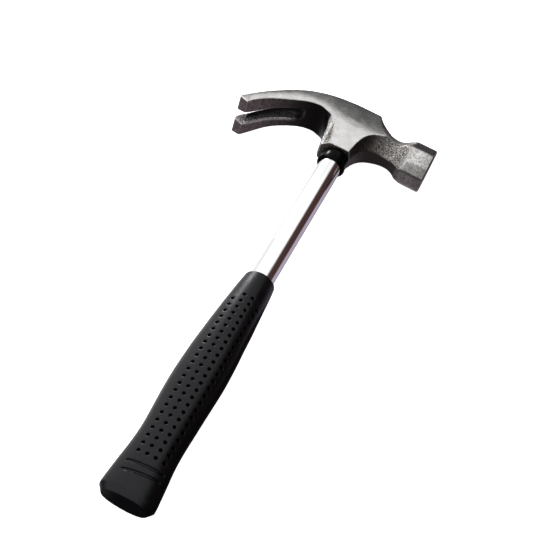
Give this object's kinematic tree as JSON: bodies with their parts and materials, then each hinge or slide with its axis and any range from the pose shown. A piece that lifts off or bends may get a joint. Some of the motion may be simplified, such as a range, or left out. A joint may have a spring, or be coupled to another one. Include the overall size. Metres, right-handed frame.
{
  "type": "claw hammer",
  "caption": "Claw hammer: forged steel head with a round striking face and curved nail claws on a chromed tubular shaft, with a moulded rubber grip.",
  "frame": {"origin": "centre of the butt face, on the handle's axis", "axes": "+X towards the striking face, +Y along the handle from the butt to the head, +Z square to the cheek; Z = 0 is the hammer's mirror plane. The hammer is modelled lying on its side."},
  "size_m": [0.1289, 0.3216, 0.0338],
  "materials": {
    "forged_steel": "ground and polished cheeks, claws and poll; as-forged neck and slot",
    "chromed_tube": "bright chrome plate",
    "wedge_steel": "ground flush",
    "collar_plastic": "glossy black",
    "core_wood": "plain turned hardwood",
    "plug_plastic": "matt black",
    "grip_rubber": "moulded black rubber, satin"
  },
  "bodies": {
    "root": {"hammer_head": "forged_steel", "shaft_tube": "chromed_tube", "eye_wedge": "wedge_steel", "eye_collar": "collar_plastic", "shaft_core": "core_wood", "tube_plug": "plug_plastic", "grip": "grip_rubber"}
  },
  "joints": []
}
